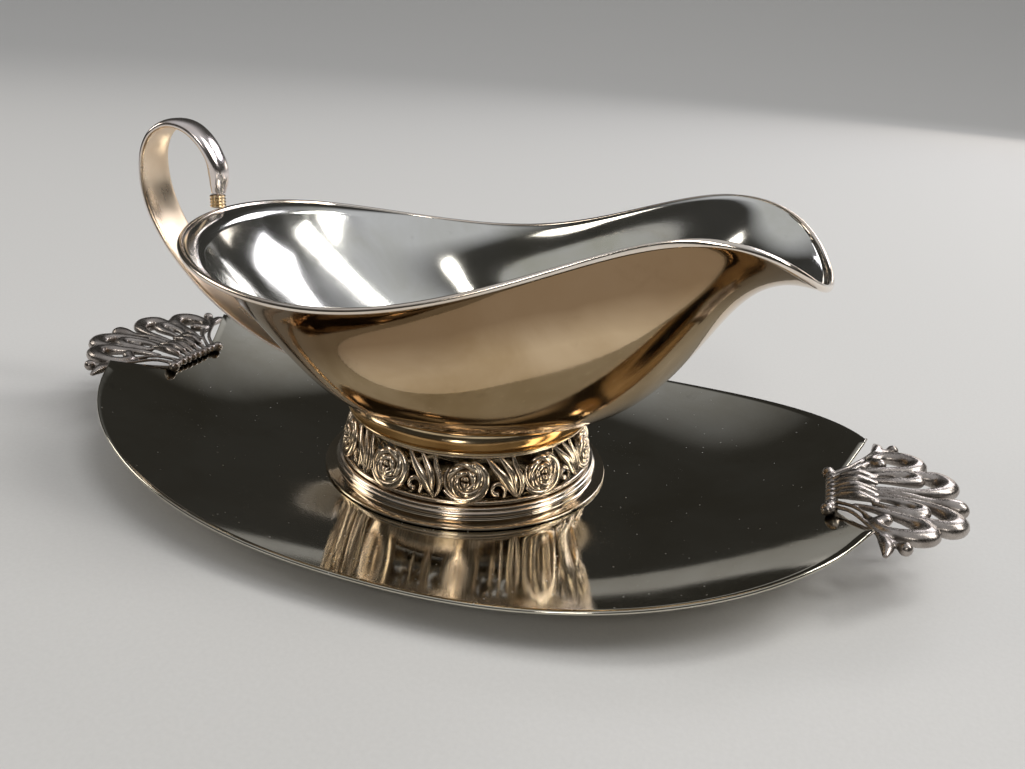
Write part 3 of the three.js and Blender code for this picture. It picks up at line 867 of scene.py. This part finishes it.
def handle_strap():
    """The looped strap: thicker at its bud, rounded outside and hollowed inside."""
    steps, sides = 220, 28
    rings = []
    for k in range(steps + 1):
        share = k / steps
        x, z, width = spline(STRAP_ROUTE, share)
        ahead = spline(STRAP_ROUTE, min(1, share + 0.003))
        behind = spline(STRAP_ROUTE, max(0, share - 0.003))
        along = Vector((ahead[0] - behind[0], 0, ahead[1] - behind[1])).normalized()
        outward = Vector((along.z, 0, -along.x))
        bud = bump(share, BUD_SHARE, BUD_HALF)
        waist = 1 - 0.2 * bump(share, 0, 0.035)
        half = width / 2 * waist * (1 + 0.12 * smoothstep(share, 0.4, 0.2))
        thick = STRAP_THICK * (1 + 0.5 * bud + 0.25 * smoothstep(share, 0.45, 0.15))
        ring = []
        for j in range(sides):
            angle = -TURN * (j + 0.5) / sides
            across = math.copysign(abs(math.cos(angle)) ** 0.62, math.cos(angle))
            rise = math.copysign(abs(math.sin(angle)) ** 0.7, math.sin(angle)) * thick / 2
            fullness = 1 - across * across
            if math.sin(angle) > 0:
                rise += STRAP_BULGE_OUT * fullness
            else:
                rise += STRAP_BULGE_IN * fullness * smoothstep(share, 0.12, 0.3)
            sink = STRAP_SINK * max(0.0, outward.z) * smoothstep(share, 0.5, 0.3)
            ring.append(Vector((x, across * half, z + PLATE_SIDE_HEIGHT)) + outward * (rise - sink))
        rings.append(ring)
    poles = [sum(ring, Vector()) / sides for ring in (rings[0], rings[-1])]
    build = Build()
    build.skin(rings, poles)
    loop = build.object("handle_loop")
    finish_piece(loop, "handle_strap", handle_silver)
    loop.data.materials.append(loop_inner_silver)
    for face in loop.data.polygons:
        if face.index < steps * sides and face.index % sides < sides / 2 - 1:
            face.material_index = 1


def handle_ferrule():
    """The ribbed collar under the strap's upper end."""
    low, high = node_box("handle_ferrule")
    centre = (low + high) / 2
    half = (high - low) / 2
    ribs = 4
    rings = []
    steps = ribs * 8
    for k in range(steps + 1):
        share = k / steps
        swell = 0.80 + 0.2 * abs(math.sin(math.pi * ribs * share))
        rings.append([
            Vector((centre.x + half.x * swell * math.cos(TURN * j / 28),
                    centre.y + half.y * 0.92 * swell * math.sin(TURN * j / 28),
                    lerp(low.z, high.z, share))) for j in range(28)
        ])
    build = Build()
    build.skin(rings, (Vector((centre.x, centre.y, low.z)), Vector((centre.x, centre.y, high.z))))
    finish_piece(build.object("handle_ribs"), "handle_ferrule", foot_gold)


handle_strap()
handle_ferrule()


# ---- cast handles of the underplate ----------------------------------------------------
CAST_LIFT = 2.15
CAST_REACH = 32
CAST_ARCH = 5
BAR_X = 102.2
BEAD_COUNT = 8
BEAD_PITCH = 2.45
CAST_VOXEL = 0.3

# Strands of half a casting. Each has a route of x, y and lift, its radii, flatness and steps
CAST_BARS = (
    ([(BAR_X, 9.6), (106.8, 13.4), (111, 20), (113.8, 25.6)], [0.75, 0.65, 0.7, 0.9], 0.85, 30),
    ([(BAR_X, 7.2, 0.3), (107.6, 11.4, 0.3), (112.2, 17.6, 0.3)], [0.7, 0.6, 0.6], 0.85, 30),
)
CAST_PLUMES = (
    ([(111, 1.6, -0.3), (118, 2.2), (124, 3.2, 0.2), (129.2, 5.8, 0.4), (131.6, 10, 0.4),
      (129.4, 13.6, 0.3), (124.4, 13.4, 0.1), (120.6, 10.6), (118.6, 7.6, -0.2)],
     [0.8, 1.0, 1.3, 2.2, 3.0, 2.8, 1.9, 1.3, 1.1], 0.85, 44),
    ([(111, 5.2, 0.3), (116, 5.6, 0.7), (121, 6.8, 0.8), (123.6, 9, 0.8), (121.4, 11, 0.7),
      (116.6, 10.2, 0.5), (112.6, 8.6, 0.3)],
     [0.8, 1.1, 1.6, 2.2, 1.8, 1.3, 0.9], 0.85, 36),
    ([(108, 10), (113, 11.8, 0.3), (118.6, 13.8, 0.2), (123, 16, 0.3), (124.4, 19.8, 0.3),
      (120.8, 22.6, 0.2), (115.4, 22.2), (112.6, 18.8), (114.6, 16.4, 0.4)],
     [0.8, 1.2, 1.6, 2.3, 2.8, 2.5, 1.9, 1.6, 1.9], 0.85, 44),
    ([(110.5, 14.4, -0.4), (113, 20.5, -0.3), (115.2, 25.6, -0.2), (118.4, 28.2)],
     [0.9, 1.3, 1.1, 1.0], 0.85, 30),
)
CAST_TIPS = (
    ([(113.4, 24, -0.2), (114.6, 28.4, -0.3), (114.2, 32.2, -0.6)], [1.1, 1.7, 0.8], 0.8, 30),
)


def cast_height(x):
    """Height of the casting's middle: it lies on the plate and arches a little beyond it."""
    beyond = max(0, x - NOTCH_INNER[0]) / CAST_REACH
    arch = CAST_ARCH * beyond * (1 - beyond)
    return plate_top(min(x, NOTCH_INNER[0]), 0) + CAST_LIFT + arch


class Casting:
    """One cast handle as strands and balls, at the plate's end on the given side."""

    def __init__(self, side):
        self.side = side
        self.build = Build()

    def place(self, x, y, lift=0.0):
        return Vector((self.side * x, self.side * y, cast_height(x) + lift))

    def strand(self, route, radii, flat=0.85, steps=30):
        self.build.tube([self.place(*point) for point in route], radii, steps, 12, flat)

    def strands(self, way, entries):
        """Strands on one half of the casting. The way is 1 or -1."""
        for route, radii, flat, steps in entries:
            half_route = [(x, way * y, *lift) for x, y, *lift in route]
            self.strand(half_route, radii, flat, steps)

    def middle(self):
        """The row of beads, a ball at each end of it, and the strands along the middle."""
        for k in range(BEAD_COUNT):
            across = (k - (BEAD_COUNT - 1) / 2) * BEAD_PITCH
            self.build.ball(self.place(BAR_X, across, -0.2), 1.4)
        for end in (-1, 1):
            self.build.ball(self.place(BAR_X - 0.6, end * 11), 1.8)
        self.strand([(112, 0), (120, 0, 0.3), (126.5, 0), (130.5, 0), (133, 0)],
                    [0.6, 0.9, 1.2, 2.4, 2.9], 0.9)
        self.strand([(102.5, 0, 0.4), (107, 0, 1.0), (112.5, 0, 0.5)], [0.8, 1.5, 0.6])

    def ribbed_lanes(self, way):
        """Two stout strands beside the middle, each with three fine ribs on its top."""
        for lane in (2.6, 5.4):
            route = [(103, way * lane, 0.5), (108, way * lane * 1.2, 1.1),
                     (113.4, way * lane * 1.35, 0.6)]
            self.strand(route, [0.7, 1.55, 0.6])
            for rib in (-0.75, 0, 0.75):
                line = [(104, way * (lane + rib * 0.7), 1.5), (108, way * (lane * 1.2 + rib), 2.3),
                        (112.6, way * (lane * 1.35 + rib * 0.5), 1.2)]
                self.strand(line, [0.2, 0.36, 0.2], 1)

    def half(self, way):
        self.strands(way, CAST_BARS)
        self.ribbed_lanes(way)
        self.strands(way, CAST_PLUMES)
        self.build.ball(self.place(118.6, way * 28.4), 1.75)
        self.strands(way, CAST_TIPS)


def cast_handle(side, node):
    """A whole cast handle, its strands fused into one skin."""
    casting = Casting(side)
    casting.middle()
    for way in (-1, 1):
        casting.half(way)
    piece = casting.build.object(f"{node}_casting")
    remesh = piece.modifiers.new("fuse", "REMESH")
    remesh.mode = "VOXEL"
    remesh.voxel_size = CAST_VOXEL * MM
    soften = piece.modifiers.new("soften", "SMOOTH")
    soften.factor = 0.5
    soften.iterations = 7
    apply_modifiers(piece)
    finish_piece(piece, node, handle_cast)


cast_handle(1, "plate_handle_right")
cast_handle(-1, "plate_handle_left")

for name in ("fixing_stud", "fixing_washer", "fixing_nut"):
    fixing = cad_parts[name]
    fixing.data.materials.clear()
    fixing.data.materials.append(dull_brass)


# ---- stage ------------------------------------------------------------------------------
FLOOR_FRONT = -3500
FLOOR_BACK = 2400
FLOOR_HALF_WIDTH = 6000
FLOOR_DROP = 0.05
SWEEP_RUN = 1100
SWEEP_RISE = 480


def floor():
    """A pale floor that sweeps up a little far behind the object."""
    build = Build()
    rows = [(FLOOR_FRONT, 0), (FLOOR_BACK, 0)]
    rows += [(FLOOR_BACK + SWEEP_RUN * k / 8, SWEEP_RISE * (k / 8) ** 2) for k in range(1, 9)]
    for y, z in rows:
        for x in (-FLOOR_HALF_WIDTH, FLOOR_HALF_WIDTH):
            build.points.append(Vector((x, y, z - FLOOR_DROP)))
    for k in range(len(rows) - 1):
        build.faces.append((2 * k, 2 * k + 1, 2 * k + 3, 2 * k + 2))
    piece = build.object("floor")
    nodes = Nodes("floor_paper")
    grain = nodes.noise(900, 3)
    colour = nodes.blend(grain, (0.60, 0.59, 0.57), (0.66, 0.65, 0.63))
    nodes.link(colour, nodes.shader.inputs["Base Color"])
    nodes.shader.inputs["Roughness"].default_value = 0.9
    piece.data.materials.append(nodes.material)


def area_light(name, place, target, width, height, power, colour):
    """A rectangular lamp that faces a target, in metres and watts."""
    light = bpy.data.lights.new(name, "AREA")
    light.shape = "RECTANGLE"
    light.size = width
    light.size_y = height
    light.energy = power
    light.color = colour
    lamp = bpy.data.objects.new(name, light)
    lamp.location = place
    aim = Vector(target) - Vector(place)
    lamp.rotation_euler = aim.to_track_quat("-Z", "Y").to_euler()
    bpy.context.collection.objects.link(lamp)


def lights():
    """Two window-like lamps, four softer ones, and daylight that polished metal doesn't mirror."""
    middle = (0, 0, 0.05)
    area_light("window_left", (0.95, 0.62, 1.35), middle, 0.28, 0.75, 6.5, (1, 0.99, 0.97))
    area_light("window_right", (1.25, 0.22, 1.15), middle, 0.28, 0.75, 6.5, (1, 0.99, 0.97))
    area_light("back_soft", (0.62, 1.5, 1.05), middle, 0.7, 0.5, 5.5, (0.93, 0.93, 1))
    area_light("back_low", (0.6, 1.8, 0.36), middle, 0.6, 0.35, 1.2, (1, 0.92, 0.84))
    area_light("left_soft", (-1.5, -0.3, 0.8), middle, 0.5, 0.5, 3.5, (1, 0.96, 0.9))
    area_light("front_soft", (0.3, -1.6, 1.2), middle, 0.3, 0.45, 4, (1, 0.97, 0.93))
    sun = bpy.data.lights.new("daylight", "SUN")
    sun.energy = 0.85
    sun.angle = math.radians(35)
    lamp = bpy.data.objects.new("daylight", sun)
    lamp.rotation_euler = Vector((-0.45, -0.1, -1)).to_track_quat("-Z", "Y").to_euler()
    lamp.visible_glossy = False
    bpy.context.collection.objects.link(lamp)
    bpy.context.scene.view_settings.view_transform = "Standard"


def room():
    """A dim room: dark low down, paler overhead."""
    world = bpy.data.worlds.new("dim_room")
    bpy.context.scene.world = world
    world.use_nodes = True
    tree = world.node_tree
    coordinates = tree.nodes.new("ShaderNodeTexCoord")
    parts = tree.nodes.new("ShaderNodeSeparateXYZ")
    ramp = tree.nodes.new("ShaderNodeValToRGB")
    tree.links.new(coordinates.outputs["Generated"], parts.inputs["Vector"])
    tree.links.new(parts.outputs["Z"], ramp.inputs["Fac"])
    tree.links.new(ramp.outputs["Color"], tree.nodes["Background"].inputs["Color"])
    low, high = ramp.color_ramp.elements
    low.position = 0.6
    low.color = (0.035, 0.034, 0.031, 1)
    high.position = 0.88
    high.color = (0.50, 0.51, 0.53, 1)


CAMERA_PLACE = Vector((83.0, -221.7, 122.6))
CAMERA_TARGET = Vector((11.84, -3.62, 30.0))
CAMERA_ROLL = math.radians(4.27)
CAMERA_LENS = 30.11
CAMERA_SENSOR = 36


def camera():
    """The camera at the photograph's viewing angle."""
    data = bpy.data.cameras.new("camera")
    data.lens = CAMERA_LENS
    data.sensor_width = CAMERA_SENSOR
    lens = bpy.data.objects.new("camera", data)
    bpy.context.collection.objects.link(lens)
    place = CAMERA_PLACE * MM
    target = CAMERA_TARGET * MM
    facing = (target - place).to_track_quat("-Z", "Y").to_matrix().to_4x4()
    lens.matrix_world = Matrix.Translation(place) @ facing @ Matrix.Rotation(CAMERA_ROLL, 4, "Z")
    bpy.context.scene.camera = lens


floor()
lights()
room()
camera()
